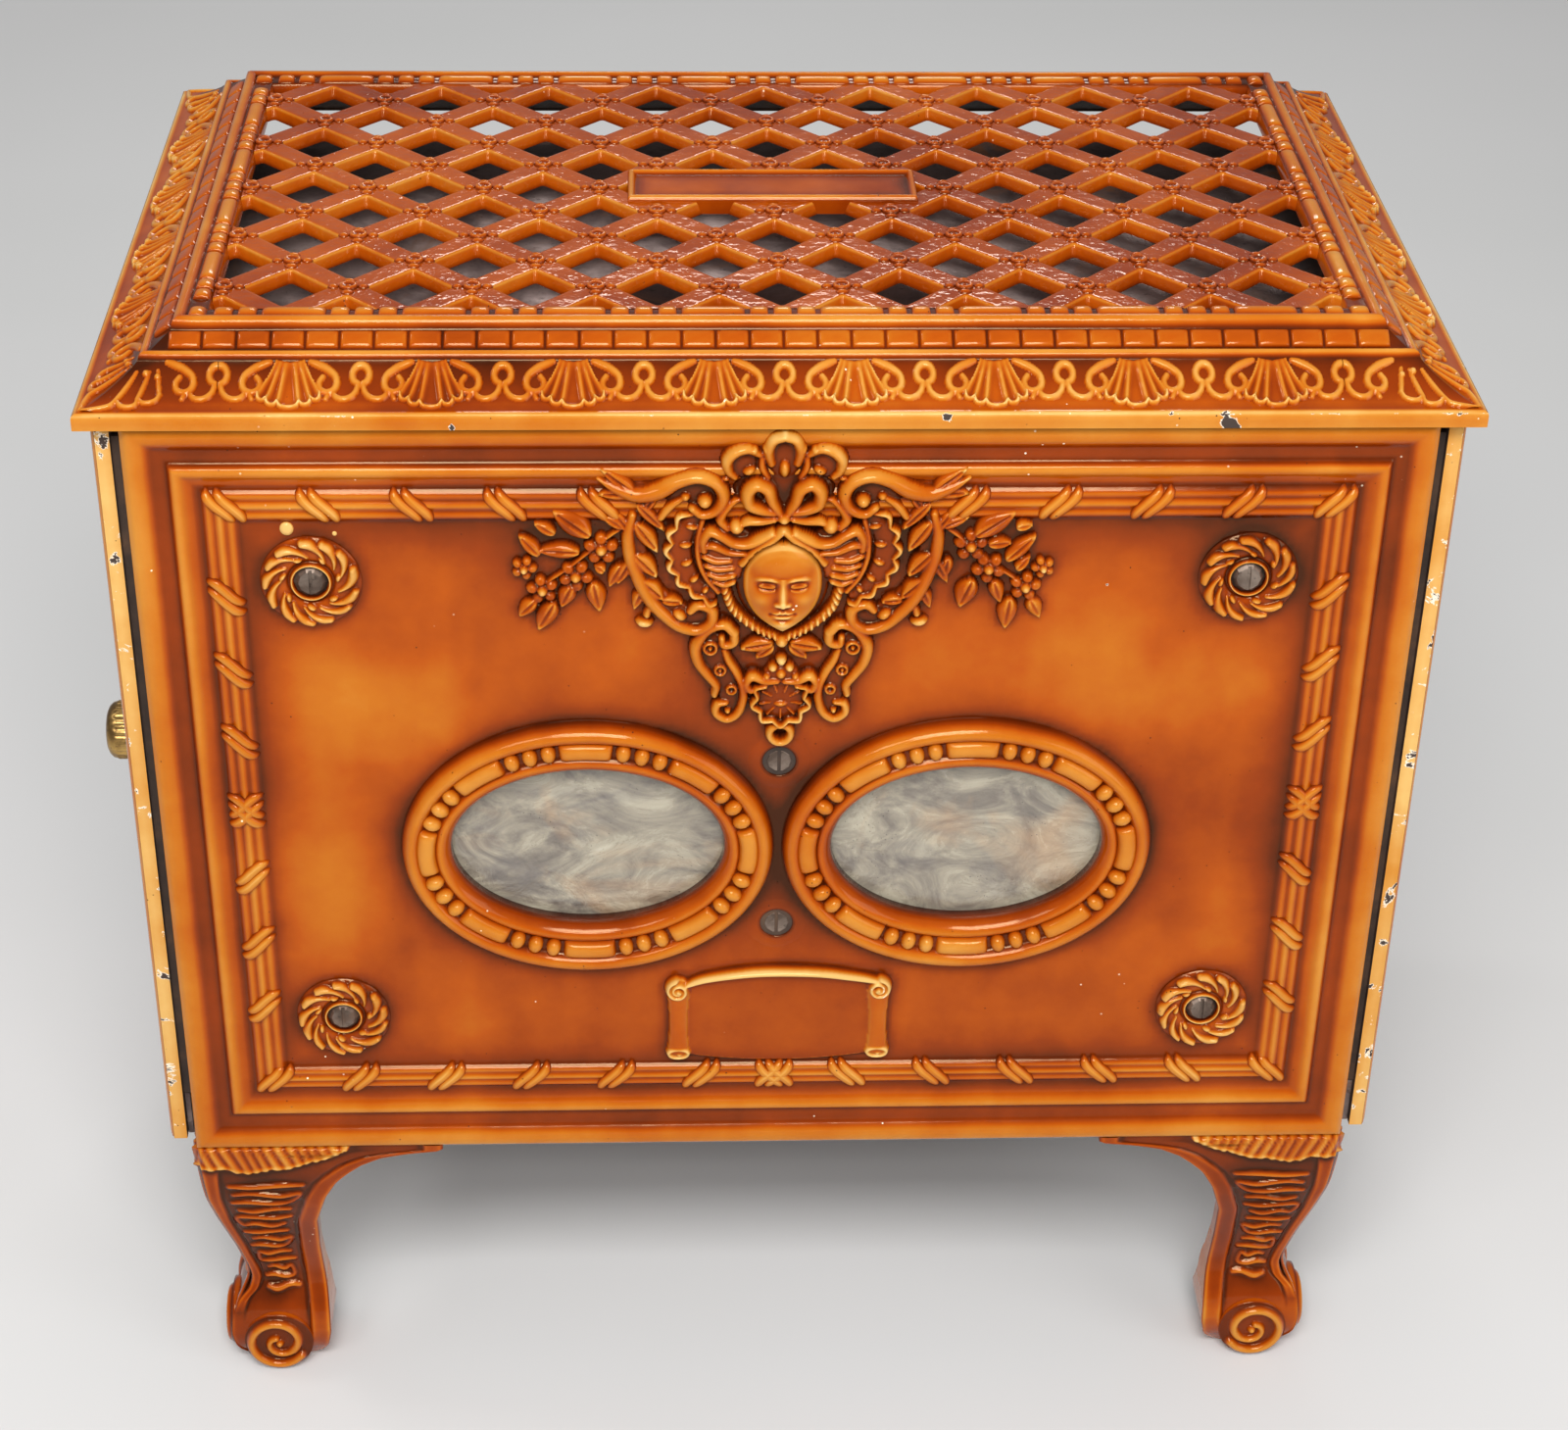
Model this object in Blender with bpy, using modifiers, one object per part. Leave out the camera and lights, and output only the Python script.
"""Enamelled cast iron room heater: bolted casing, pierced lift-off lid and a sliding oil lamp unit.

The origin is on the floor under the middle of the casing. The front faces -Y. Units are metres.
"""

import math

import bmesh
import bpy
from mathutils import Matrix

MM = 0.001

# Clearance between pieces that touch, the lap of joined solids and the reach of a cutter past a face
GAP = 0.3 * MM
OVERLAP = 1 * MM
CUT_REACH = 9 * MM
MERGE = 0.01 * MM

# Casing
LEG_HEIGHT = 130 * MM
PANEL_WIDTH = 480 * MM
PANEL_HEIGHT = 339.4 * MM
PANEL_THICK = 5 * MM
CASING_DEPTH = 306 * MM
SIDE_GAP = 4 * MM
SIDE_THICK = 5 * MM
SIDE_SETBACK = 2 * MM
SIDE_LIFT = 3 * MM
FLANGE_REACH = 12 * MM
FLANGE_THICK = 4 * MM

# Raised frames round the front panel and the side plates
ROLL_WIDTH = 10 * MM
ROLL_RISE = 3 * MM
ROLL_MARGIN = 0.5 * MM
FILLET_INSET = 16.2 * MM
FILLET_FOOT = 18.2 * MM
FILLET_HEAD = 19.4 * MM
FILLET_WIDTH = 8 * MM
FILLET_RISE = 3 * MM
RIBBON_INSET = 27 * MM
RIBBON_FOOT = 32 * MM
RIBBON_HEAD = 29.4 * MM
RIBBON_WIDTH = 13 * MM
RIBBON_RISE = 4 * MM
SIDE_RISE_SHARE = 0.75

# Windows
WINDOW_X = 74.6 * MM
WINDOW_HEIGHT = 150.5 * MM
RING_OUTER = (73.3 * MM, 59 * MM)
RING_INNER = (53.5 * MM, 36.3 * MM)
RING_RISE = 8 * MM
MICA_LAP = 4 * MM
MICA_THICK = 1 * MM
RETAINER_THICK = 2 * MM
RETAINER_LAP = 1.5 * MM
RETAINER_MARGIN = 10 * MM
CENTRE_SCREW_HEIGHTS = {"upper": 189.8 * MM, "lower": 112.5 * MM}

# Rosettes and the bolts in them
ROSETTE_INSET = 65 * MM
ROSETTE_HEIGHTS = {"upper": 271.4 * MM, "lower": 68.3 * MM}
ROSETTE_RADIUS = 18.75 * MM
ROSETTE_RISE = 4.5 * MM
BOSS_RADIUS = 10 * MM

# Carved cartouches on the front; the mask's tables count in CARVE
CARVE = 1 * MM
MASK_HEIGHT = 272 * MM
MASK_RISE = 5 * MM
SCROLL_HALF_WIDTH = 46.5 * MM
SCROLL_LOW = 41 * MM
SCROLL_HIGH = 91.5 * MM
SCROLL_RISE = 3 * MM
SCROLL_ROLL_RADIUS = 5 * MM

# Fasteners
BOLT_HEAD_RADIUS = 6.5 * MM
BOLT_HEAD_RISE = 2.2 * MM
BOLT_RADIUS = 3 * MM
SCREW_HEAD_RADIUS = 3.6 * MM
SCREW_HEAD_RISE = 2 * MM
SCREW_RADIUS = 2 * MM
SLOT_WIDTH = 1.4 * MM
SLOT_DEPTH = 1 * MM
THREAD_END = 2 * MM

# Straps, rail, floor tray and baffle that tie the plates together
STRAP_THICK = 3 * MM
STRAP_HEIGHT = 24 * MM
STRAP_INNER_END = 12 * MM
SIDE_SCREW_Y = 104 * MM
STRAP_TAIL = 9 * MM
RAIL_DROP = 40 * MM
RAIL_HEIGHT = 20 * MM
RAIL_SETBACK = 5 * MM
TRAY_THICK = 2 * MM
TRAY_WALL_HEIGHT = 24 * MM
TRAY_SCREW_HEIGHT = 17 * MM
BAFFLE_THICK = 2 * MM
BAFFLE_DROP = 8.4 * MM
BAFFLE_BACK_GAP = 23 * MM
BAFFLE_SIDE_GAP = 5 * MM
LUG_HEIGHT = 7 * MM
LUG_LENGTH = 16 * MM
LUG_REACH = 9 * MM
LUG_SHARES = (-0.38, 0, 0.34)

# Lid
LID_OVERHANG = 6.3 * MM
LID_LAP = 2.7 * MM
LID_SKIRT = 5.7 * MM
LID_SEAT = 16 * MM
LID_RIM = 8.2 * MM
LID_SLOPE = (23.3 * MM, 16.4 * MM)
LID_DENTIL = (33.4 * MM, 25 * MM)
LID_TOP = (38.1 * MM, 28.6 * MM)
LID_WALL = 4.5 * MM
LID_BORDER = 14 * MM
LATTICE_DROP = 2 * MM
LATTICE_THICK = 4.5 * MM
LATTICE_PITCH_X = 45.88 * MM
LATTICE_PITCH_Y = 23.63 * MM
LATTICE_BAR = 12 * MM
PLATE_LENGTH = 115 * MM
PLATE_WIDTH = 29 * MM
PLATE_RISE = 2.5 * MM

# Legs; their table of shapes counts in LEG_UNIT
LEG_UNIT = 1 * MM
LEG_ARM = 102 * MM
LEG_ARM_DROP = 3 * MM
LEG_WALL = 6 * MM
LEG_LUG = 36 * MM
LEG_LUG_THICK = 5 * MM
LEG_LUG_STEP = 0.2 * MM
LEG_BOLT_INSET = 21 * MM
FOOT_INSET = 5.2 * MM
FOOT_FILL = 0.8
VOLUTE_RADIUS = 15 * MM
VOLUTE_INSET = 25.5 * MM
VOLUTE_RAISE = 2.2 * MM
VOLUTE_DEPTH = 18 * MM
VOLUTE_LIFT = 0.4 * MM
HEX_RADIUS = 6 * MM
HEX_HEIGHT = 4 * MM

# Lamp unit
RUNNER_INSET = 52 * MM
RUNNER_REACH = 18 * MM
RUNNER_WALL = 14 * MM
RUNNER_THICK = 2 * MM
RUNNER_END_GAP = 3 * MM
TANK_CLEARANCE = 1 * MM
TANK_DEPTH = 150 * MM
TANK_HEIGHT = 60 * MM
TANK_WALL = 1.5 * MM
TANK_CORNER = 24 * MM
TANK_SHOULDER = 5 * MM
NECK_RADIUS = 13 * MM
NECK_WALL = 2 * MM
NECK_HEIGHT = 12 * MM
NECK_Y = 45 * MM
CAP_WALL = 3 * MM
CAP_SKIRT = 9 * MM
CAP_TOP = 3 * MM
CAP_WING = (20 * MM, 5 * MM, 6 * MM)
HANDLE_HALF = 40 * MM
HANDLE_REACH = 26 * MM
HANDLE_RADIUS = 3 * MM
HANDLE_BEND = 10 * MM
HANDLE_HEIGHT = 36 * MM

# Burners, wicks and the spindles that raise them
SPINDLE_HEIGHT = 241 * MM
SPINDLE_Y = -3 * MM
SPINDLE_RADIUS = 1.5 * MM
WHEEL_RADIUS = 6 * MM
WHEEL_ROOT = 4.4 * MM
WHEEL_WIDTH = 8 * MM
WHEEL_TEETH = 10
WICK_WIDTH = 60 * MM
WICK_THICK = 3 * MM
WICK_TOP = 23 * MM
WICK_FOOT = 15 * MM
TUBE_WALL = 1.2 * MM
TUBE_CLEARANCE = 0.6 * MM
TUBE_TOP = 21 * MM
COLLAR_AXES = (44 * MM, 22 * MM)
COLLAR_THICK = 6 * MM
GALLERY_AXES = (48 * MM, 24 * MM)
GALLERY_DROP = 11 * MM
GALLERY_THICK = 2 * MM
EAR_OFFSET = 20 * MM
EAR_THICK = 2 * MM
EAR_MARGIN = 3 * MM
CONE_WALL = 1.2 * MM
CONE_SKIRT = 9 * MM
CONE_SHOULDER = 21 * MM
CONE_TOP = 28 * MM
CONE_MOUTH = (33.5 * MM, 7 * MM)
SLOT_HALF_HEIGHT = 4 * MM
KNOB_REACH = 38 * MM
KNOB_CLEARANCE = 5 * MM
KNOB_HUB = 6 * MM
KNOB_RADIUS = 13 * MM

# Places worked out from the sizes above
FRONT = -CASING_DEPTH / 2
BACK = CASING_DEPTH / 2
PANEL_HALF = PANEL_WIDTH / 2
ROSETTE_X = PANEL_HALF - ROSETTE_INSET
RUNNER_X = PANEL_HALF - RUNNER_INSET
PANEL_TOP = LEG_HEIGHT + PANEL_HEIGHT
PANEL_BACK = FRONT + PANEL_THICK
SIDE_INNER = PANEL_HALF + SIDE_GAP
SIDE_OUTER = SIDE_INNER + SIDE_THICK
SIDE_FRONT = FRONT + SIDE_SETBACK
SIDE_LOW = LEG_HEIGHT + SIDE_LIFT
FLANGE_FRONT = PANEL_BACK + GAP
FLANGE_BACK = FLANGE_FRONT + FLANGE_THICK
STRAP_FRONT = FLANGE_BACK + GAP
STRAP_BACK = STRAP_FRONT + STRAP_THICK
STRAP_OUTER = SIDE_INNER - GAP
TRAY_LOW = LEG_HEIGHT + GAP
TRAY_TOP = TRAY_LOW + TRAY_THICK
LID_LOW = PANEL_TOP - LID_LAP
LID_HALF_X = SIDE_OUTER + LID_OVERHANG
LID_HALF_Y = BACK + LID_OVERHANG
LATTICE_TOP = LID_LOW + LID_TOP[1] - LATTICE_DROP
WINDOW_Z = LEG_HEIGHT + WINDOW_HEIGHT
RUNNER_LOW = TRAY_TOP + GAP
TANK_LOW = RUNNER_LOW + RUNNER_THICK + GAP
TANK_TOP = TANK_LOW + TANK_HEIGHT
TANK_HALF_X = RUNNER_X - RUNNER_THICK - TANK_CLEARANCE
WICK_Y = SPINDLE_Y - WHEEL_RADIUS - GAP - WICK_THICK / 2
BURNER_LOW = TANK_TOP + GAP
GALLERY_TOP = SPINDLE_HEIGHT - GALLERY_DROP
SIDES = {"left": -1, "right": 1}


def clear_scene():
    """Remove every object, then make the two collections."""
    for old in list(bpy.data.objects):
        bpy.data.objects.remove(old, do_unlink=True)
    for name in ("cast_iron_heater", "cutters"):
        collection = bpy.data.collections.new(name)
        bpy.context.scene.collection.children.link(collection)


def principled(name, colour, roughness, metallic, alpha=1.0):
    """One Principled material."""
    material = bpy.data.materials.new(name)
    material.use_nodes = True
    shader = material.node_tree.nodes["Principled BSDF"]
    shader.inputs["Base Color"].default_value = (*colour, 1)
    shader.inputs["Roughness"].default_value = roughness
    shader.inputs["Metallic"].default_value = metallic
    shader.inputs["Alpha"].default_value = alpha
    return material


def make_materials():
    """The finishes, by name."""
    return {
        "enamel": principled("amber_enamel", (0.46, 0.14, 0.02), 0.12, 0),
        "sheet": principled("sheet_iron", (0.16, 0.12, 0.10), 0.5, 0.8),
        "bolt": principled("worn_steel", (0.28, 0.24, 0.20), 0.45, 0.9),
        "mica": principled("mica", (0.55, 0.53, 0.48), 0.25, 0, 0.85),
        "brass": principled("brass", (0.60, 0.42, 0.16), 0.3, 1),
        "tin": principled("tinned_iron", (0.45, 0.44, 0.42), 0.35, 0.9),
        "cotton": principled("wick_cotton", (0.78, 0.73, 0.60), 0.95, 0),
    }


def place(name, data, material=None):
    """Put a mesh or curve in the model, or among the cutters when it has no material."""
    thing = bpy.data.objects.new(name, data)
    collection = "cast_iron_heater" if material else "cutters"
    bpy.data.collections[collection].objects.link(thing)
    if material:
        data.materials.append(material)
    else:
        thing.hide_render = True
        thing.display_type = "WIRE"
    return thing


def from_bmesh(name, shape, material=None):
    """Turn a finished bmesh into an object with its faces pointing out."""
    bmesh.ops.recalc_face_normals(shape, faces=shape.faces)
    mesh = bpy.data.meshes.new(name)
    shape.to_mesh(mesh)
    shape.free()
    return place(name, mesh, material)


def box(name, low, high, material=None):
    """A box between two corners."""
    shape = bmesh.new()
    size = [top - bottom for bottom, top in zip(low, high)]
    middle = [(top + bottom) / 2 for bottom, top in zip(low, high)]
    matrix = Matrix.Translation(middle) @ Matrix.Diagonal((*size, 1))
    bmesh.ops.create_cube(shape, size=1, matrix=matrix)
    return from_bmesh(name, shape, material)


def along(axis):
    """The turn that lays a local +Z on a world axis."""
    if axis == "x":
        return Matrix.Rotation(math.pi / 2, 4, "Y")
    if axis == "y":
        return Matrix.Rotation(-math.pi / 2, 4, "X")
    return Matrix.Identity(4)


def rod(name, middle, radius, low, high, axis, material=None, sides=12):
    """A cylinder along a world axis, from low to high on it; middle holds its other coordinates."""
    index = "xyz".index(axis)
    centre = list(middle)
    centre[index] = (low + high) / 2
    shape = bmesh.new()
    matrix = Matrix.Translation(centre) @ along(axis)
    bmesh.ops.create_cone(
        shape, cap_ends=True, segments=sides, radius1=radius, radius2=radius,
        depth=abs(high - low), matrix=matrix,
    )
    return from_bmesh(name, shape, material)


def loft(name, rings, closed, material=None):
    """Join rings of points; a closed loft comes back to its first ring, an open one is capped."""
    shape = bmesh.new()
    rows = [[shape.verts.new(point) for point in ring] for ring in rings]
    pairs = list(zip(rows, rows[1:]))
    if closed:
        pairs.append((rows[-1], rows[0]))
    for one, two in pairs:
        for i in range(len(one)):
            j = (i + 1) % len(one)
            shape.faces.new((one[i], one[j], two[j], two[i]))
    if not closed:
        shape.faces.new(rows[0])
        shape.faces.new(rows[-1])
    return from_bmesh(name, shape, material)


def outline(name, points, plane, low, high, material=None, smooth=0):
    """A flat closed outline with a thickness; smooth is the steps of a curve between its points."""
    curve = bpy.data.curves.new(name, "CURVE")
    curve.dimensions = "2D"
    curve.fill_mode = "BOTH"
    curve.extrude = (high - low) / 2
    curve.resolution_u = max(smooth, 1)
    spline = curve.splines.new("BEZIER" if smooth else "POLY")
    if smooth:
        spline.bezier_points.add(len(points) - 1)
        for knot, point in zip(spline.bezier_points, points):
            knot.co = (*point, 0)
            knot.handle_left_type = knot.handle_right_type = "AUTO"
    else:
        spline.points.add(len(points) - 1)
        for knot, point in zip(spline.points, points):
            knot.co = (*point, 0, 1)
    spline.use_cyclic_u = True
    middle = (low + high) / 2
    turns = {
        "xy": Matrix.Translation((0, 0, middle)),
        "xz": Matrix.Translation((0, middle, 0)) @ Matrix.Rotation(math.pi / 2, 4, "X"),
        "yz": Matrix(((0, 0, 1, middle), (1, 0, 0, 0), (0, 1, 0, 0), (0, 0, 0, 1))),
    }
    return as_mesh(place(name, curve), turns[plane], material)


def as_mesh(guide, matrix, material=None):
    """Swap a curve for its closed mesh, with its place put into the mesh."""
    name = guide.name
    bpy.context.view_layer.update()
    graph = bpy.context.evaluated_depsgraph_get()
    mesh = bpy.data.meshes.new_from_object(guide.evaluated_get(graph))
    bpy.data.objects.remove(guide, do_unlink=True)
    shape = bmesh.new()
    shape.from_mesh(mesh)
    bpy.data.meshes.remove(mesh)
    bmesh.ops.remove_doubles(shape, verts=shape.verts, dist=MERGE)
    bmesh.ops.transform(shape, matrix=matrix, verts=shape.verts)
    return from_bmesh(name, shape, material)


def turned(name, profile, matrix, material=None, steps=20):
    """A profile of (radius, height) points, from its top down its outer side, turned about Z."""
    mesh = bpy.data.meshes.new(name)
    edges = [(i, i + 1) for i in range(len(profile) - 1)]
    if profile[0][0] > 0:
        edges.append((len(profile) - 1, 0))
    mesh.from_pydata([(radius, 0, height) for radius, height in profile], edges, [])
    thing = place(name, mesh, material)
    thing.matrix_world = matrix
    screw = thing.modifiers.new("turn", "SCREW")
    screw.steps = screw.render_steps = steps
    screw.use_merge_vertices = True
    screw.merge_threshold = MERGE
    screw.use_smooth_shade = True
    return thing


def combine(target, operation, *others):
    """Join or cut a piece with helper solids, one Boolean modifier each."""
    for other in others:
        step = target.modifiers.new(other.name, "BOOLEAN")
        step.operation = operation
        step.object = other
    return target


def join(target, *others):
    return combine(target, "UNION", *others)


def cut(target, *others):
    return combine(target, "DIFFERENCE", *others)


def ellipse(axes, centre, count=28):
    """Points round an ellipse, as (across, up) pairs about a centre."""
    turns = [2 * math.pi * i / count for i in range(count)]
    return [
        (centre[0] + axes[0] * math.cos(turn), centre[1] + axes[1] * math.sin(turn))
        for turn in turns
    ]


def rounded(half_x, half_y, radius, steps=5):
    """Points round a rectangle with round corners."""
    points = []
    for quarter, (sign_x, sign_y) in enumerate(((1, 1), (-1, 1), (-1, -1), (1, -1))):
        for step in range(steps + 1):
            turn = math.pi / 2 * (quarter + step / steps)
            points.append((
                sign_x * (half_x - radius) + radius * math.cos(turn),
                sign_y * (half_y - radius) + radius * math.sin(turn),
            ))
    return points


def raised_frame(name, place_point, half, low, high, width, rise, squareness):
    """A mitred frame with a rounded face, standing on a plate.

    place_point(across, up, out) gives the world point; half, low and high are its outer edges.
    """
    profile = (
        (0, -OVERLAP), (0, rise * squareness), (width * 0.2, rise), (width * 0.8, rise),
        (width, rise * squareness), (width, -OVERLAP),
    )
    rings = []
    for inset, out in profile:
        corners = (
            (-half + inset, low + inset), (half - inset, low + inset),
            (half - inset, high - inset), (-half + inset, high - inset),
        )
        rings.append([place_point(across, up, out) for across, up in corners])
    return loft(name, rings, True)


def frames_on(prefix, place_point, half, low, high, share=1.0):
    """The edge roll, the fillet and the ribbon-wound reeds that run round one plate."""
    return [
        raised_frame(
            prefix + "_roll", place_point, half - ROLL_MARGIN, low + ROLL_MARGIN,
            high - LID_LAP - ROLL_MARGIN, ROLL_WIDTH, ROLL_RISE * share, 0.35,
        ),
        raised_frame(
            prefix + "_fillet", place_point, half - FILLET_INSET, low + FILLET_FOOT,
            high - FILLET_HEAD, FILLET_WIDTH, FILLET_RISE * share, 0.8,
        ),
        raised_frame(
            prefix + "_ribbon", place_point, half - RIBBON_INSET, low + RIBBON_FOOT,
            high - RIBBON_HEAD, RIBBON_WIDTH, RIBBON_RISE * share, 0.45,
        ),
    ]


def window_ring(name, x):
    """The oval moulding round one window."""
    width = (RING_OUTER[0] - RING_INNER[0], RING_OUTER[1] - RING_INNER[1])
    profile = ((0, -OVERLAP), (0.03, 0.55 * RING_RISE), (0.14, 0.95 * RING_RISE), (0.3, RING_RISE),
               (0.68, 0.8 * RING_RISE), (1, 0.1 * RING_RISE), (1, -OVERLAP))
    rings = []
    for share, out in profile:
        axes = (RING_OUTER[0] - width[0] * share, RING_OUTER[1] - width[1] * share)
        rings.append([(a, FRONT - out, b) for a, b in ellipse(axes, (x, WINDOW_Z))])
    return loft(name, rings, True)


def mirrored(half):
    """A closed outline from its right half, listed from top to bottom on the axis."""
    return half + [(-x, z) for x, z in reversed(half[1:-1])]


def mask_relief():
    """The cartouche that carries the calm mask: scrolled plate, veil, head, sprays and pendant."""
    base = LEG_HEIGHT + MASK_HEIGHT
    plate = mirrored([
        (0, 58), (12, 55), (20, 47), (30, 49), (42, 46), (48, 36), (46, 24), (54, 12), (52, -6),
        (56, -20), (48, -27), (36, -24), (30, -32), (34, -46), (24, -56), (12, -54), (6, -66),
        (0, -73),
    ])
    points = [(x * CARVE, base + z * CARVE) for x, z in plate]
    solids = [outline("mask_plate", points, "xz", FRONT - MASK_RISE, FRONT + OVERLAP, smooth=2)]
    lumps = {
        "mask_head": ((0, 4, 0), (17, 9, 21)),
        "mask_veil": ((0, 3, 4), (29, 6, 24)),
        "mask_shell": ((0, 3, -52), (14, 4.5, 12)),
        "mask_crown": ((0, 4, 44), (13, 4.5, 11)),
    }
    for side, sign in SIDES.items():
        lumps["mask_spray_" + side] = ((sign * 76, 0.5, 2), (23, 3.6, 9))
        lumps["mask_spray_low_" + side] = ((sign * 84, 0.5, -14), (11, 3.2, 9))
        lumps["mask_leaf_" + side] = ((sign * 46, 4, 2), (9, 4, 19))
    for name, (centre, radii) in lumps.items():
        shape = bmesh.new()
        where = Matrix.Translation((centre[0] * CARVE, FRONT - centre[1] * CARVE, base + centre[2] * CARVE))
        matrix = where @ Matrix.Diagonal((radii[0] * CARVE, radii[1] * CARVE, radii[2] * CARVE, 1))
        bmesh.ops.create_uvsphere(shape, u_segments=10, v_segments=6, radius=1, matrix=matrix)
        solids.append(from_bmesh(name, shape))
    return solids


def scroll_relief():
    """The bare parchment cartouche with its rolled sides."""
    low = LEG_HEIGHT + SCROLL_LOW
    high = LEG_HEIGHT + SCROLL_HIGH
    half = SCROLL_HALF_WIDTH
    arch = 7 * MM
    points = [(-half, low), (half, low), (half, high - arch), (half / 2, high - arch * 0.3),
              (0, high), (-half / 2, high - arch * 0.3), (-half, high - arch)]
    solids = [outline("scroll_sheet", points, "xz", FRONT - SCROLL_RISE, FRONT + OVERLAP)]
    for side, sign in SIDES.items():
        middle = (sign * (half - SCROLL_ROLL_RADIUS), FRONT - SCROLL_RISE * 0.4, 0)
        top = high - arch + SCROLL_ROLL_RADIUS
        solids.append(rod("scroll_roll_" + side, middle, SCROLL_ROLL_RADIUS, low + OVERLAP, top, "z"))
    return solids


def rosette(name, x, z):
    """The leaf wreath round one bolt head."""
    inner = BOLT_HEAD_RADIUS + OVERLAP
    profile = [(inner, ROSETTE_RISE * 0.4), (inner + 4 * MM, ROSETTE_RISE),
               (ROSETTE_RADIUS - 4 * MM, ROSETTE_RISE), (ROSETTE_RADIUS, 0.2 * ROSETTE_RISE),
               (ROSETTE_RADIUS, -OVERLAP), (inner, -OVERLAP)]
    return turned(name, profile, Matrix.Translation((x, FRONT, z)) @ facing("-y"), steps=16)


def facing(direction):
    """The turn that points a local +Z along a signed world axis such as -y."""
    sign, axis = direction[0], direction[1]
    turn = along(axis)
    if sign == "-":
        turn = turn @ Matrix.Rotation(math.pi, 4, "X")
    return turn


def bolt_holes(prefix, radius, low, high, axis, points):
    """Cutters for round holes, a clearance wider than the shank."""
    return [
        rod(f"{prefix}_{i}", point, radius + GAP, low, high, axis)
        for i, point in enumerate(points)
    ]


def slotted(name, point, direction, head, shank, material, slot=True):
    """A slotted screw. Its head sits on point; head is (radius, rise) and shank (radius, length)."""
    head_radius, rise = head
    shank_radius, length = shank
    profile = [(0, rise + GAP), (head_radius * 0.7, rise * 0.9 + GAP), (head_radius, GAP),
               (shank_radius, GAP), (shank_radius, -length), (0, -length)]
    matrix = Matrix.Translation(point) @ facing(direction)
    screw = turned(name, profile, matrix, material, steps=10)
    if slot:
        half = (SLOT_WIDTH / 2, head_radius * 1.1, SLOT_DEPTH)
        slit = box(name + "_slit", [-v for v in half], half)
        slit.matrix_world = matrix @ Matrix.Translation((0, 0, rise + GAP))
        cut(screw, slit)
    return screw


def rosette_points(z_list=ROSETTE_HEIGHTS):
    """The four rosettes as (name, sign, height above the floor)."""
    return [
        (f"{level}_{side}", sign, LEG_HEIGHT + z_list[level])
        for level in z_list for side, sign in SIDES.items()
    ]


def front_panel(finish):
    """The cast front: mouldings, two oval windows, four rosettes, mask and bare cartouche."""
    panel = box(
        "front_panel", (-PANEL_HALF, FRONT, LEG_HEIGHT), (PANEL_HALF, PANEL_BACK, PANEL_TOP),
        finish["enamel"],
    )
    join(panel, *frames_on(
        "front", lambda across, up, out: (across, FRONT - out, up),
        PANEL_HALF, LEG_HEIGHT, PANEL_TOP,
    ))
    join(panel, *mask_relief(), *scroll_relief())
    for side, sign in SIDES.items():
        join(panel, window_ring("window_ring_" + side, sign * WINDOW_X))
        hole = ellipse(RING_INNER, (sign * WINDOW_X, WINDOW_Z))
        front, back = FRONT - 2 * RING_RISE, PANEL_BACK + OVERLAP
        rings = [[(x, y, z) for x, z in hole] for y in (front, back)]
        cut(panel, loft("window_hole_" + side, rings, False))
    for name, sign, height in rosette_points():
        point = (sign * ROSETTE_X, 0, height)
        join(panel, rosette("rosette_" + name, point[0], height))
        join(panel, rod("boss_" + name, point, BOSS_RADIUS, FRONT + 2 * MM, FLANGE_BACK, "y"))
        cut(panel, *bolt_holes("front_hole_" + name, BOLT_RADIUS, FRONT - CUT_REACH,
                               STRAP_BACK, "y", [point]))
    for level, height in CENTRE_SCREW_HEIGHTS.items():
        point = (0, 0, LEG_HEIGHT + height)
        seat = FRONT + BOLT_HEAD_RISE
        cut(panel, rod("sink_" + level, point, BOLT_HEAD_RADIUS + GAP, FRONT - CUT_REACH, seat, "y"))
        cut(panel, rod("pilot_" + level, point, SCREW_RADIUS + GAP, FRONT, PANEL_BACK + OVERLAP, "y"))
    return panel


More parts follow.
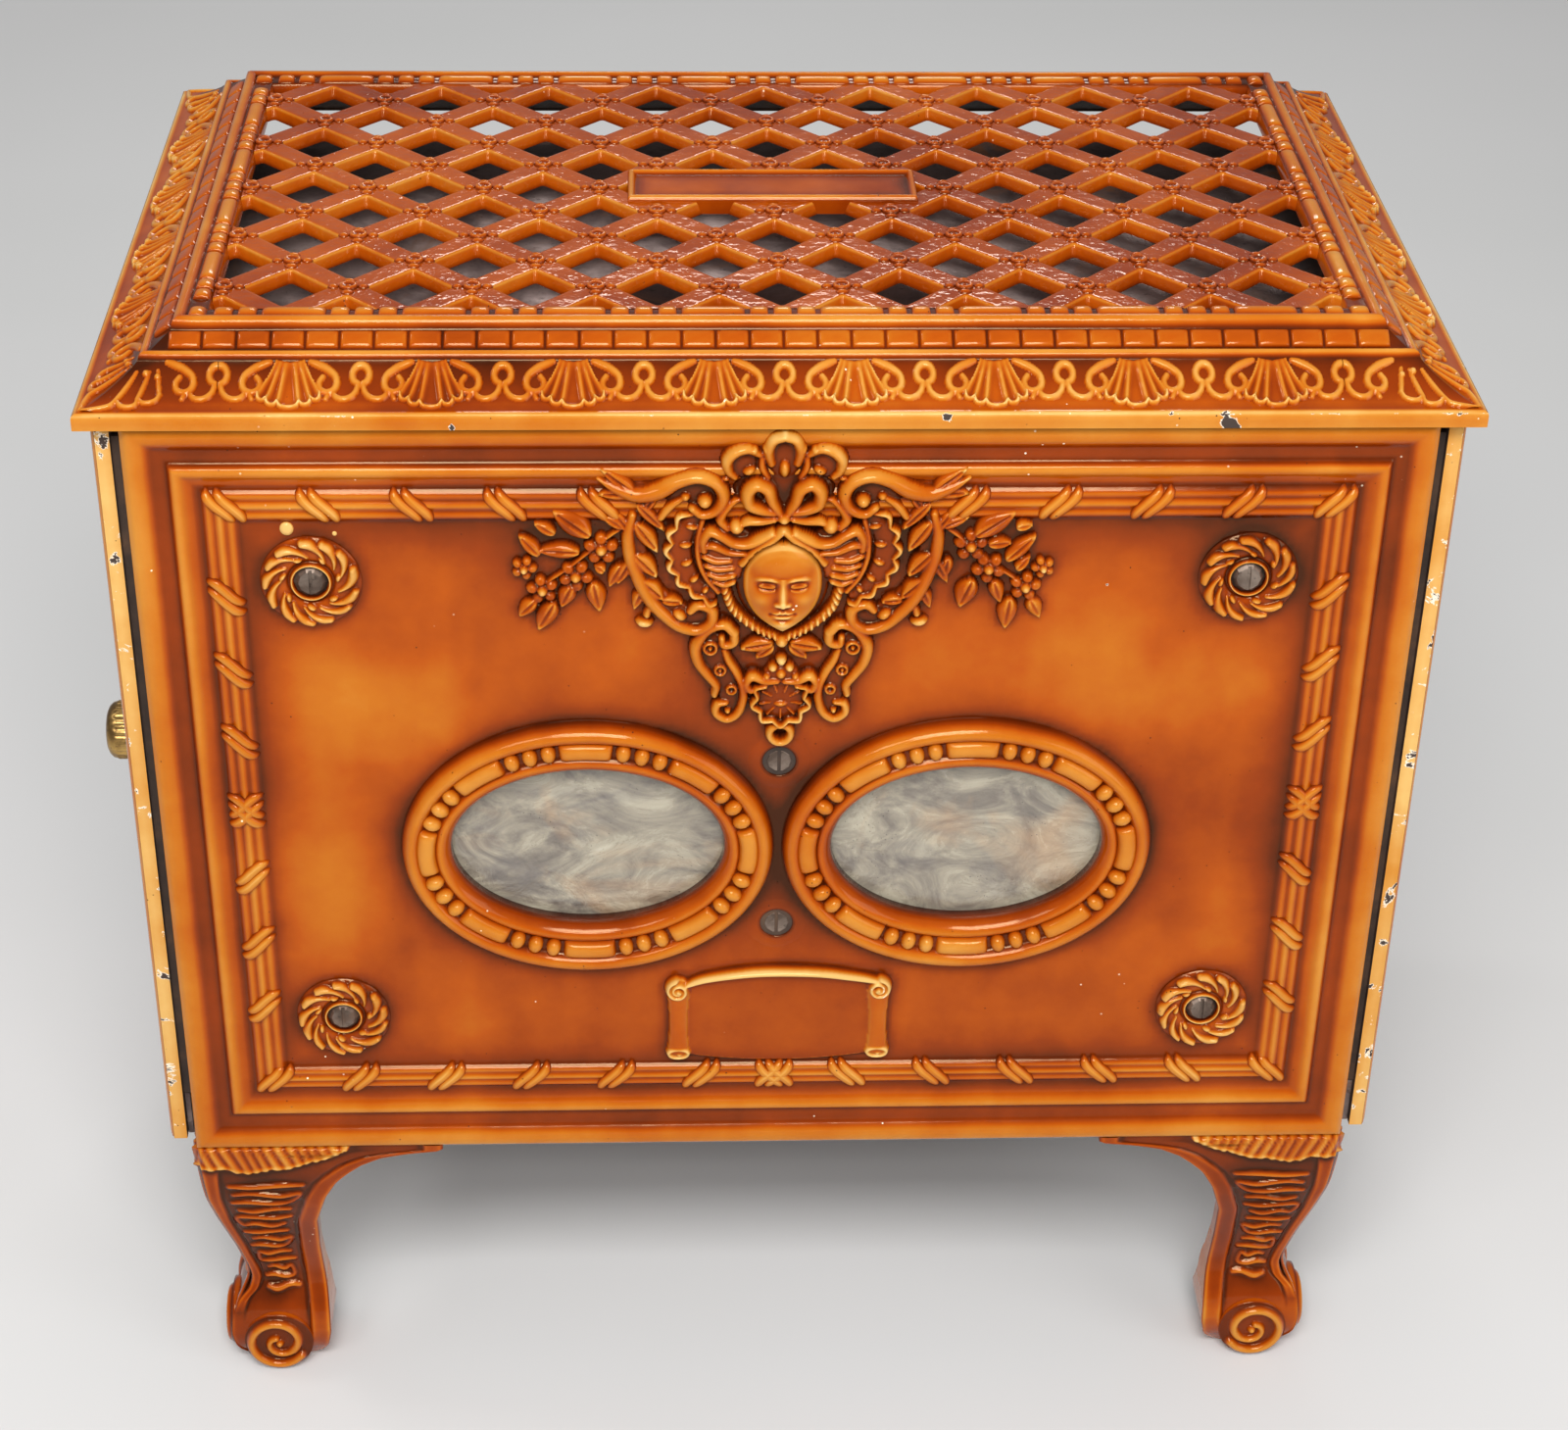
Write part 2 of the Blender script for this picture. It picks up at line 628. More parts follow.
def fix_front(finish):
    """The rosette bolts, the centre screws, the mica windows and their retainer."""
    for name, sign, height in rosette_points():
        length = STRAP_BACK + THREAD_END - FRONT
        slotted(
            "rosette_bolt_" + name, (sign * ROSETTE_X, FRONT, height), "-y",
            (BOLT_HEAD_RADIUS, BOLT_HEAD_RISE), (BOLT_RADIUS, length), finish["bolt"],
        )
    mica_front = PANEL_BACK + GAP
    plate_front = mica_front + MICA_THICK + GAP
    plate_back = plate_front + RETAINER_THICK
    for side, sign in SIDES.items():
        axes = [half + MICA_LAP for half in RING_INNER]
        points = ellipse(axes, (sign * WINDOW_X, WINDOW_Z))
        rings = [[(x, y, z) for x, z in points] for y in (mica_front, mica_front + MICA_THICK)]
        loft("mica_window_" + side, rings, False, finish["mica"])
    half_x = WINDOW_X + RING_INNER[0] + RETAINER_MARGIN
    half_z = RING_INNER[1] + RETAINER_MARGIN
    retainer = box(
        "mica_retainer", (-half_x, plate_front, WINDOW_Z - half_z),
        (half_x, plate_back, WINDOW_Z + half_z), finish["sheet"],
    )
    for side, sign in SIDES.items():
        axes = [half - RETAINER_LAP for half in RING_INNER]
        points = ellipse(axes, (sign * WINDOW_X, WINDOW_Z))
        ends = (plate_front - OVERLAP, plate_back + OVERLAP)
        rings = [[(x, y, z) for x, z in points] for y in ends]
        cut(retainer, loft("retainer_hole_" + side, rings, False))
    for level, height in CENTRE_SCREW_HEIGHTS.items():
        point = (0, 0, LEG_HEIGHT + height)
        cut(retainer, *bolt_holes("retainer_" + level, SCREW_RADIUS, PANEL_BACK,
                                  plate_back + OVERLAP, "y", [point]))
        head = (BOLT_HEAD_RADIUS, BOLT_HEAD_RISE - GAP)
        seat = (0, FRONT + BOLT_HEAD_RISE, LEG_HEIGHT + height)
        length = plate_back + THREAD_END - FRONT - BOLT_HEAD_RISE
        slotted("centre_screw_" + level, seat, "-y", head, (SCREW_RADIUS, length), finish["bolt"])


def side_screw_points():
    """The four screws of one side plate: front straps, rear rail and floor tray."""
    tray = TRAY_LOW + TRAY_SCREW_HEIGHT
    rail = PANEL_TOP - RAIL_DROP - RAIL_HEIGHT / 2
    upper, lower = (LEG_HEIGHT + ROSETTE_HEIGHTS[level] for level in ("upper", "lower"))
    return {
        "front_upper": (-SIDE_SCREW_Y, upper), "front_lower": (-SIDE_SCREW_Y, lower),
        "rear_upper": (SIDE_SCREW_Y, rail), "rear_lower": (SIDE_SCREW_Y, tray),
    }


def side_plate(side, sign, finish):
    """A cast side: outer plate, inner front flange, baffle lugs and a slot for the spindle."""
    edges = sorted((sign * SIDE_INNER, sign * SIDE_OUTER))
    plate = box(
        f"side_plate_{side}", (edges[0], SIDE_FRONT, SIDE_LOW), (edges[1], BACK, PANEL_TOP),
        finish["enamel"],
    )
    middle = (SIDE_FRONT + BACK) / 2
    join(plate, *frames_on(
        "side_" + side,
        lambda across, up, out: (sign * (SIDE_OUTER + out), middle + across, up),
        (BACK - SIDE_FRONT) / 2, SIDE_LOW, PANEL_TOP, SIDE_RISE_SHARE,
    ))
    reach = sorted((sign * (SIDE_INNER - FLANGE_REACH), sign * (SIDE_INNER + OVERLAP)))
    tray_wall = TRAY_LOW + TRAY_WALL_HEIGHT
    join(plate, box(
        "flange_" + side, (reach[0], FLANGE_FRONT, tray_wall + GAP),
        (reach[1], FLANGE_BACK, PANEL_TOP - BAFFLE_DROP - BAFFLE_THICK - GAP),
    ))
    lug_top = PANEL_TOP - BAFFLE_DROP - BAFFLE_THICK - GAP
    lug_reach = sorted((sign * (SIDE_INNER - LUG_REACH), sign * (SIDE_INNER + OVERLAP)))
    for i, share in enumerate(LUG_SHARES):
        y = share * CASING_DEPTH
        join(plate, box(
            f"lug_{side}_{i}", (lug_reach[0], y - LUG_LENGTH / 2, lug_top - LUG_HEIGHT),
            (lug_reach[1], y + LUG_LENGTH / 2, lug_top),
        ))
    through = sorted((sign * (SIDE_INNER - 2 * MM), sign * (SIDE_OUTER + 2 * RIBBON_RISE)))
    cut(plate, box(
        "slot_" + side, (through[0], SPINDLE_Y - SLOT_HALF_HEIGHT, SPINDLE_HEIGHT - SLOT_HALF_HEIGHT),
        (through[1], BACK + OVERLAP, SPINDLE_HEIGHT + SLOT_HALF_HEIGHT),
    ))
    for name, (y, z) in side_screw_points().items():
        cut(plate, *bolt_holes(f"side_hole_{side}_{name}", SCREW_RADIUS, through[0], through[1],
                               "x", [(0, y, z)]))
        length = SIDE_THICK + GAP + STRAP_THICK + THREAD_END
        slotted(
            f"side_screw_{side}_{name}", (sign * SIDE_OUTER, y, z), "+x" if sign > 0 else "-x",
            (SCREW_HEAD_RADIUS, SCREW_HEAD_RISE), (SCREW_RADIUS, length), finish["bolt"], slot=False,
        )
    return plate


def strap(name, sign, height, finish):
    """A bent strap that the rosette bolt draws back against the side plate's flange."""
    inner = ROSETTE_X - STRAP_INNER_END
    tail = -SIDE_SCREW_Y + STRAP_TAIL
    bend = STRAP_OUTER - STRAP_THICK
    points = [(inner, STRAP_FRONT), (STRAP_OUTER, STRAP_FRONT), (STRAP_OUTER, tail), (bend, tail),
              (bend, STRAP_BACK), (inner, STRAP_BACK)]
    points = [(sign * x, y) for x, y in points]
    low, high = height - STRAP_HEIGHT / 2, height + STRAP_HEIGHT / 2
    piece = outline("corner_strap_" + name, points, "xy", low, high, finish["sheet"])
    cut(piece, *bolt_holes("strap_bolt_" + name, BOLT_RADIUS, STRAP_FRONT - OVERLAP,
                           STRAP_BACK + OVERLAP, "y", [(sign * ROSETTE_X, 0, height)]))
    ends = sorted((sign * (bend - OVERLAP), sign * (STRAP_OUTER + OVERLAP)))
    cut(piece, *bolt_holes("strap_screw_" + name, SCREW_RADIUS, ends[0], ends[1], "x",
                           [(0, -SIDE_SCREW_Y, height)]))
    return piece


def back_rail(finish):
    """A flat bar that ties the side plates together across the open back."""
    outer, inner = STRAP_OUTER, STRAP_OUTER - STRAP_THICK
    rear = BACK - RAIL_SETBACK
    tail = SIDE_SCREW_Y - STRAP_TAIL
    points = [(-outer, rear), (-outer, tail), (-inner, tail), (-inner, rear - STRAP_THICK),
              (inner, rear - STRAP_THICK), (inner, tail), (outer, tail), (outer, rear)]
    high = PANEL_TOP - RAIL_DROP
    rail = outline("back_rail", points, "xy", high - RAIL_HEIGHT, high, finish["sheet"])
    y, z = side_screw_points()["rear_upper"]
    cut(rail, *bolt_holes("rail_screws", SCREW_RADIUS, -SIDE_OUTER, SIDE_OUTER, "x", [(0, y, z)]))
    return rail


def leg_bolt_points():
    """The four leg bolts as (name, sign_x, sign_y, x, y)."""
    points = []
    for depth, sign_y in (("front", -1), ("rear", 1)):
        for side, sign_x in SIDES.items():
            x = sign_x * (PANEL_HALF - LEG_BOLT_INSET)
            y = sign_y * (BACK - LEG_BOLT_INSET)
            points.append((f"{depth}_{side}", sign_x, sign_y, x, y))
    return points


def floor_tray(finish):
    """The sheet floor, turned up at both sides."""
    outer, inner = STRAP_OUTER, STRAP_OUTER - TRAY_THICK
    wall = TRAY_LOW + TRAY_WALL_HEIGHT
    shelf = TRAY_LOW + SIDE_LIFT
    points = [(-PANEL_HALF, TRAY_LOW), (PANEL_HALF, TRAY_LOW), (PANEL_HALF, shelf), (outer, shelf),
              (outer, wall), (inner, wall), (inner, TRAY_TOP + SIDE_LIFT),
              (PANEL_HALF - TRAY_THICK, TRAY_TOP + SIDE_LIFT), (PANEL_HALF - TRAY_THICK, TRAY_TOP)]
    points += [(-x, z) for x, z in reversed(points[2:])]
    tray = outline("floor_tray", points, "xz", PANEL_BACK + GAP, BACK, finish["sheet"])
    holes = [(x, y, 0) for _, _, _, x, y in leg_bolt_points()]
    cut(tray, *bolt_holes("tray_bolt", BOLT_RADIUS, TRAY_LOW - OVERLAP, TRAY_TOP + OVERLAP, "z", holes))
    y, z = side_screw_points()["rear_lower"]
    cut(tray, *bolt_holes("tray_screw", SCREW_RADIUS, -SIDE_OUTER, SIDE_OUTER, "x", [(0, y, z)]))
    return tray


def baffle(finish):
    """The flat plate under the lattice that spreads the heat."""
    top = PANEL_TOP - BAFFLE_DROP
    half = SIDE_INNER - BAFFLE_SIDE_GAP
    return box(
        "baffle_plate", (-half, PANEL_BACK + GAP, top - BAFFLE_THICK),
        (half, BACK - BAFFLE_BACK_GAP, top), finish["sheet"],
    )


def rectangle(half_x, half_y, z):
    return [(-half_x, -half_y, z), (half_x, -half_y, z), (half_x, half_y, z), (-half_x, half_y, z)]


def lid_rings(stations):
    """Rectangles of the lid, from (inset, height above the rim's foot)."""
    return [rectangle(LID_HALF_X - inset, LID_HALF_Y - inset, LID_LOW + up) for inset, up in stations]


def lattice_holes():
    """Diamond cutters between the crossing bars, clipped at the border."""
    half_x = LID_HALF_X - LID_TOP[0] - LID_BORDER
    half_y = LID_HALF_Y - LID_TOP[0] - LID_BORDER
    slant = math.atan2(LATTICE_PITCH_Y, LATTICE_PITCH_X / 2)
    reach_x = LATTICE_PITCH_X / 2 - LATTICE_BAR / 2 / math.sin(slant)
    reach_y = LATTICE_PITCH_Y - LATTICE_BAR / 2 / math.cos(slant)
    rows = int(half_y / LATTICE_PITCH_Y) + 2
    columns = int(half_x / LATTICE_PITCH_X) + 2
    low, high = LATTICE_TOP - 2 * LATTICE_THICK, LATTICE_TOP + 2 * LATTICE_THICK
    shape = bmesh.new()
    for row in range(-rows, rows + 1):
        shift = 0 if row % 2 == 0 else 0.5
        for column in range(-columns, columns + 1):
            x, y = (column + shift) * LATTICE_PITCH_X, row * LATTICE_PITCH_Y
            if abs(x) - reach_x > half_x or abs(y) - reach_y > half_y:
                continue
            corners = [(x + reach_x, y), (x, y + reach_y), (x - reach_x, y), (x, y - reach_y)]
            foot = [shape.verts.new((a, b, low)) for a, b in corners]
            head = [shape.verts.new((a, b, high)) for a, b in corners]
            shape.faces.new(foot)
            shape.faces.new(head)
            for i in range(4):
                j = (i + 1) % 4
                shape.faces.new((foot[i], foot[j], head[j], head[i]))
    holes = from_bmesh("lattice_holes", shape)
    window = box("lattice_window", (-half_x, -half_y, low), (half_x, half_y, high))
    return combine(holes, "INTERSECT", window)


def lid(finish):
    """The pierced lid: rebated rim, mitred slope, raised border, lattice and a bare plate."""
    outer = lid_rings([(0, 0), (0, LID_RIM), (LID_SLOPE[0] * 0.35, LID_RIM + OVERLAP),
                       (LID_SLOPE[0] * 0.75, LID_SLOPE[1] * 0.75), LID_SLOPE,
                       (LID_SLOPE[0] + 1.5 * MM, LID_SLOPE[1] + 3 * MM),
                       (LID_DENTIL[0], LID_DENTIL[1] - 2 * MM), LID_DENTIL, LID_TOP])
    cover = loft("lid", outer, False, finish["enamel"])
    seat = LID_LAP + GAP
    under = LATTICE_TOP - LATTICE_THICK - LID_LOW
    inner = lid_rings([(LID_SEAT, -OVERLAP), (LID_SEAT, seat + OVERLAP),
                       (LID_SLOPE[0] + LID_WALL, LID_SLOPE[1] - 2 * MM),
                       (LID_TOP[0] + LID_WALL / 2, under)])
    cut(cover, loft("lid_hollow", inner, False))
    rebate = lid_rings([(LID_SKIRT, -OVERLAP), (LID_SKIRT, seat)])
    cut(cover, loft("lid_rebate", rebate, False))
    half_x = LID_HALF_X - LID_TOP[0] - LID_BORDER
    half_y = LID_HALF_Y - LID_TOP[0] - LID_BORDER
    cut(cover, box("lid_recess", (-half_x, -half_y, LATTICE_TOP),
                   (half_x, half_y, LATTICE_TOP + 2 * LATTICE_DROP)))
    cut(cover, lattice_holes())
    join(cover, box(
        "lid_plate", (-PLATE_LENGTH / 2, -PLATE_WIDTH / 2, LATTICE_TOP - LATTICE_THICK / 2),
        (PLATE_LENGTH / 2, PLATE_WIDTH / 2, LATTICE_TOP + PLATE_RISE),
    ))
    return cover


def leg_stations():
    """The cabriole shape as (share of the height, outer edge, inner edge, wall) from the top down."""
    arm = (LEG_ARM_DROP / LEG_HEIGHT, 0, LEG_ARM / LEG_UNIT)
    shin = [(0, 0, LEG_ARM / LEG_UNIT), arm, (0.05, 0, 77), (0.115, 0.4, 62.6), (0.23, 1.8, 51.4),
            (0.35, 5.6, 46.7), (0.5, 11, 46.2), (0.65, 15, 47)]
    foot = [(0.69, 13.5, 47.6), (0.72, 9, 48), (0.77, 6.3, 48.4), (0.85, FOOT_INSET / LEG_UNIT, 48.4),
            (0.92, 6.5, 46.5), (0.975, 10.5, 42), (1, 16, 36)]
    stations = [(down, out * LEG_UNIT, inner * LEG_UNIT, LEG_WALL) for down, out, inner in shin]
    for down, out, inner in foot:
        stations.append((down, out * LEG_UNIT, inner * LEG_UNIT, FOOT_FILL * (inner - out) * LEG_UNIT))
    return stations


def leg(name, sign_x, sign_y, finish):
    """A cast corner leg: two cabriole faces meeting in a ridge, with a scroll on each."""
    top = LEG_HEIGHT - GAP
    rings = []
    for down, out, inner, wall in leg_stations():
        back = out + wall
        corners = ((out, out), (inner, out), (inner, back), (back, back), (back, inner), (out, inner))
        rings.append([
            (sign_x * (PANEL_HALF - a), sign_y * (BACK - b), top * (1 - down)) for a, b in corners
        ])
    piece = loft("leg_" + name, rings, False, finish["enamel"])
    lug = LEG_WALL / 2
    lug_x = sorted((sign_x * (PANEL_HALF - lug), sign_x * (PANEL_HALF - LEG_LUG)))
    lug_y = sorted((sign_y * (BACK - lug), sign_y * (BACK - LEG_LUG)))
    join(piece, box("lug_" + name, (lug_x[0], lug_y[0], top - LEG_LUG_THICK),
                    (lug_x[1], lug_y[1], top - LEG_LUG_STEP)))
    volute_z = VOLUTE_RADIUS + VOLUTE_LIFT
    out = FOOT_INSET - VOLUTE_RAISE
    for axis in "xy":
        if axis == "y":
            middle = (sign_x * (PANEL_HALF - VOLUTE_INSET), 0, volute_z)
            ends = sorted((sign_y * (BACK - out), sign_y * (BACK - out - VOLUTE_DEPTH)))
        else:
            middle = (0, sign_y * (BACK - VOLUTE_INSET), volute_z)
            ends = sorted((sign_x * (PANEL_HALF - out), sign_x * (PANEL_HALF - out - VOLUTE_DEPTH)))
        join(piece, rod(f"volute_{name}_{axis}", middle, VOLUTE_RADIUS, ends[0], ends[1], axis, sides=20))
    hole = (sign_x * (PANEL_HALF - LEG_BOLT_INSET), sign_y * (BACK - LEG_BOLT_INSET), 0)
    cut(piece, *bolt_holes("leg_hole_" + name, BOLT_RADIUS, top - 3 * LEG_LUG_THICK, top + OVERLAP,
                           "z", [hole]))
    return piece


def leg_fixings(finish):
    """A hexagon bolt and nut for each leg."""
    for name, _, _, x, y in leg_bolt_points():
        lug_low = LEG_HEIGHT - GAP - LEG_LUG_THICK
        nut_low = TRAY_TOP + GAP
        nut_top = nut_low + HEX_HEIGHT
        bolt = rod("leg_bolt_" + name, (x, y, 0), HEX_RADIUS, lug_low - GAP - HEX_HEIGHT,
                   lug_low - GAP, "z", finish["bolt"], sides=6)
        join(bolt, rod("leg_shank_" + name, (x, y, 0), BOLT_RADIUS, lug_low - GAP - HEX_HEIGHT / 2,
                       nut_top + THREAD_END, "z"))
        nut = rod("leg_nut_" + name, (x, y, 0), HEX_RADIUS, nut_low, nut_top, "z", finish["bolt"],
                  sides=6)
        cut(nut, *bolt_holes("nut_hole_" + name, BOLT_RADIUS, nut_low - OVERLAP, nut_top + OVERLAP,
                             "z", [(x, y, 0)]))


def runner(side, sign, finish):
    """An angle rail for the tank, with a stop at its front end."""
    inner, wall = RUNNER_X - RUNNER_REACH, RUNNER_X - RUNNER_THICK
    high = RUNNER_LOW + RUNNER_WALL
    shelf = RUNNER_LOW + RUNNER_THICK
    points = [(inner, RUNNER_LOW), (RUNNER_X, RUNNER_LOW), (RUNNER_X, high), (wall, high),
              (wall, shelf), (inner, shelf)]
    points = [(sign * x, z) for x, z in points]
    stop_back = -TANK_DEPTH / 2 - GAP
    stop_front = stop_back - RUNNER_THICK
    rail = outline("runner_" + side, points, "xz", stop_front, BACK - RUNNER_END_GAP, finish["sheet"])
    ends = sorted((sign * inner, sign * (RUNNER_X - RUNNER_THICK / 2)))
    return join(rail, box("runner_stop_" + side, (ends[0], stop_front, RUNNER_LOW + RUNNER_THICK / 2),
                          (ends[1], stop_back, high - RUNNER_THICK / 2)))


def burner_x(sign):
    return sign * WINDOW_X


def tank(finish):
    """The flat oil tank: a soldered shell, open at the two burners and at the filler."""
    half_y = TANK_DEPTH / 2
    stations = ((TANK_LOW, 0.4), (TANK_LOW + TANK_SHOULDER * 0.4, 0),
                (TANK_TOP - TANK_SHOULDER, 0), (TANK_TOP, 1))
    rings = []
    for z, share in stations:
        inset = TANK_SHOULDER * share
        points = rounded(TANK_HALF_X - inset, half_y - inset, TANK_CORNER - inset)
        rings.append([(x, y, z) for x, y in points])
    shell = loft("tank", rings, False, finish["tin"])
    rings = []
    for z in (TANK_LOW + TANK_WALL, TANK_TOP - TANK_WALL):
        inset = TANK_WALL + TANK_SHOULDER
        points = rounded(TANK_HALF_X - inset, half_y - inset, TANK_CORNER - inset)
        rings.append([(x, y, z) for x, y in points])
    cut(shell, loft("tank_hollow", rings, False))
    half = (WICK_WIDTH / 2 + TUBE_CLEARANCE, WICK_THICK / 2 + TUBE_CLEARANCE)
    for side, sign in SIDES.items():
        x = burner_x(sign)
        cut(shell, box("tank_slot_" + side,
                       (x - half[0], WICK_Y - half[1], TANK_TOP - 3 * TANK_WALL),
                       (x + half[0], WICK_Y + half[1], TANK_TOP + OVERLAP)))
    cut(shell, rod("tank_filler", (0, NECK_Y, 0), NECK_RADIUS - NECK_WALL,
                   TANK_TOP - 3 * TANK_WALL, TANK_TOP + OVERLAP, "z", sides=20))
    return shell


def filler(finish):
    """The filler neck and its screw cap."""
    inner = NECK_RADIUS - NECK_WALL
    low = TANK_TOP + GAP
    high = low + NECK_HEIGHT
    where = Matrix.Translation((0, NECK_Y, 0))
    turned("filler_neck", [(inner, high), (NECK_RADIUS, high), (NECK_RADIUS, low), (inner, low)],
           where, finish["brass"])
    bore, outer = NECK_RADIUS + 2 * GAP, NECK_RADIUS + 2 * GAP + CAP_WALL
    roof = high + GAP
    cap = turned("filler_cap", [
        (0, roof + CAP_TOP), (outer - OVERLAP, roof + CAP_TOP), (outer, roof + CAP_TOP - OVERLAP),
        (outer, high - CAP_SKIRT), (bore, high - CAP_SKIRT), (bore, roof), (0, roof),
    ], where, finish["brass"])
    length, width, rise = CAP_WING
    return join(cap, box("cap_wing", (-length / 2, NECK_Y - width / 2, roof + CAP_TOP / 2),
                         (length / 2, NECK_Y + width / 2, roof + CAP_TOP + rise)))


def tank_handle(finish):
    """The wire pull at the back of the tank."""
    near = TANK_DEPTH / 2 + GAP
    far = near + HANDLE_REACH
    steps = 4
    path = [(-HANDLE_HALF, near)]
    for centre, start in (((-HANDLE_HALF + HANDLE_BEND, far - HANDLE_BEND), math.pi),
                          ((HANDLE_HALF - HANDLE_BEND, far - HANDLE_BEND), math.pi / 2)):
        for step in range(steps + 1):
            turn = start - math.pi / 2 * step / steps
            path.append((centre[0] + HANDLE_BEND * math.cos(turn),
                         centre[1] + HANDLE_BEND * math.sin(turn)))
    path.append((HANDLE_HALF, near))
    curve = bpy.data.curves.new("tank_handle", "CURVE")
    curve.dimensions = "3D"
    curve.bevel_depth = HANDLE_RADIUS
    curve.bevel_resolution = 2
    curve.use_fill_caps = True
    spline = curve.splines.new("POLY")
    spline.points.add(len(path) - 1)
    height = TANK_LOW + HANDLE_HEIGHT
    for knot, (x, y) in zip(spline.points, path):
        knot.co = (x, y, height, 1)
    return as_mesh(place("tank_handle", curve), Matrix.Identity(4), finish["bolt"])


def oval_solid(name, axes, x, low, high, material=None):
    points = ellipse(axes, (x, WICK_Y), 24)
    return loft(name, [[(a, b, z) for a, b in points] for z in (low, high)], False, material)


def burner(side, sign, finish):
    """A flat-wick burner: collar, wick tube, gallery and the two ears that carry the spindle."""
    x = burner_x(sign)
    slot = (WICK_WIDTH / 2 + TUBE_CLEARANCE, WICK_THICK / 2 + TUBE_CLEARANCE)
    tube = (slot[0] + TUBE_WALL, slot[1] + TUBE_WALL)
    top = SPINDLE_HEIGHT + TUBE_TOP
    piece = box("burner_" + side, (x - tube[0], WICK_Y - tube[1], BURNER_LOW + COLLAR_THICK / 2),
                (x + tube[0], WICK_Y + tube[1], top), finish["brass"])
    join(piece, oval_solid("collar_" + side, COLLAR_AXES, x, BURNER_LOW, BURNER_LOW + COLLAR_THICK))
    join(piece, oval_solid("gallery_" + side, GALLERY_AXES, x, GALLERY_TOP - GALLERY_THICK, GALLERY_TOP))
    for i in (-1, 1):
        centre = x + i * EAR_OFFSET
        join(piece, box(
            f"ear_{side}_{i + 1}",
            (centre - EAR_THICK / 2, WICK_Y + tube[1] - TUBE_WALL / 2, GALLERY_TOP - GALLERY_THICK / 2),
            (centre + EAR_THICK / 2, SPINDLE_Y + SPINDLE_RADIUS + EAR_MARGIN,
             SPINDLE_HEIGHT + SPINDLE_RADIUS + EAR_MARGIN),
        ))
    bore_reach = EAR_OFFSET + EAR_THICK
    cut(piece, rod("bearing_" + side, (0, SPINDLE_Y, SPINDLE_HEIGHT), SPINDLE_RADIUS + GAP,
                   x - bore_reach, x + bore_reach, "x"))
    cut(piece, box("wick_slot_" + side, (x - slot[0], WICK_Y - slot[1], BURNER_LOW - OVERLAP),
                   (x + slot[0], WICK_Y + slot[1], top + OVERLAP)))
    opening = WHEEL_RADIUS + OVERLAP
    cut(piece, box(
        "wheel_window_" + side,
        (x - WHEEL_WIDTH / 2 - OVERLAP, WICK_Y, SPINDLE_HEIGHT - opening),
        (x + WHEEL_WIDTH / 2 + OVERLAP, WICK_Y + tube[1] + OVERLAP, SPINDLE_HEIGHT + opening),
    ))
    return piece


def burner_cone(side, sign, finish):
    """The oval draught cone that closes in over the wick."""
    x = burner_x(sign)
    low = GALLERY_TOP + GAP
    outside = ((GALLERY_AXES, 0, low), (GALLERY_AXES, 0, SPINDLE_HEIGHT + CONE_SKIRT),
               ((GALLERY_AXES[0] * 0.87, GALLERY_AXES[1] * 0.66), 0, SPINDLE_HEIGHT + CONE_SHOULDER),
               (CONE_MOUTH, 0, SPINDLE_HEIGHT + CONE_TOP))
    rings = []
    for axes, inset, z in outside + tuple((axes, CONE_WALL, z) for axes, _, z in reversed(outside)):
        points = ellipse((axes[0] - inset, axes[1] - inset), (x, WICK_Y), 24)
        rings.append([(a, b, z) for a, b in points])
    cone = loft("burner_cone_" + side, rings, True, finish["brass"])
    reach = sorted((x, x + sign * (GALLERY_AXES[0] + 2 * MM)))
    return cut(cone, rod("cone_hole_" + side, (0, SPINDLE_Y, SPINDLE_HEIGHT), 2 * SPINDLE_RADIUS,
                         reach[0], reach[1], "x"))


def wick(side, sign, finish):
    """The flat cotton wick, from the bottom of the tank to just above its tube."""
    x = burner_x(sign)
    return box("wick_" + side,
               (x - WICK_WIDTH / 2, WICK_Y - WICK_THICK / 2, TANK_LOW + WICK_FOOT),
               (x + WICK_WIDTH / 2, WICK_Y + WICK_THICK / 2, SPINDLE_HEIGHT + WICK_TOP),
               finish["cotton"])


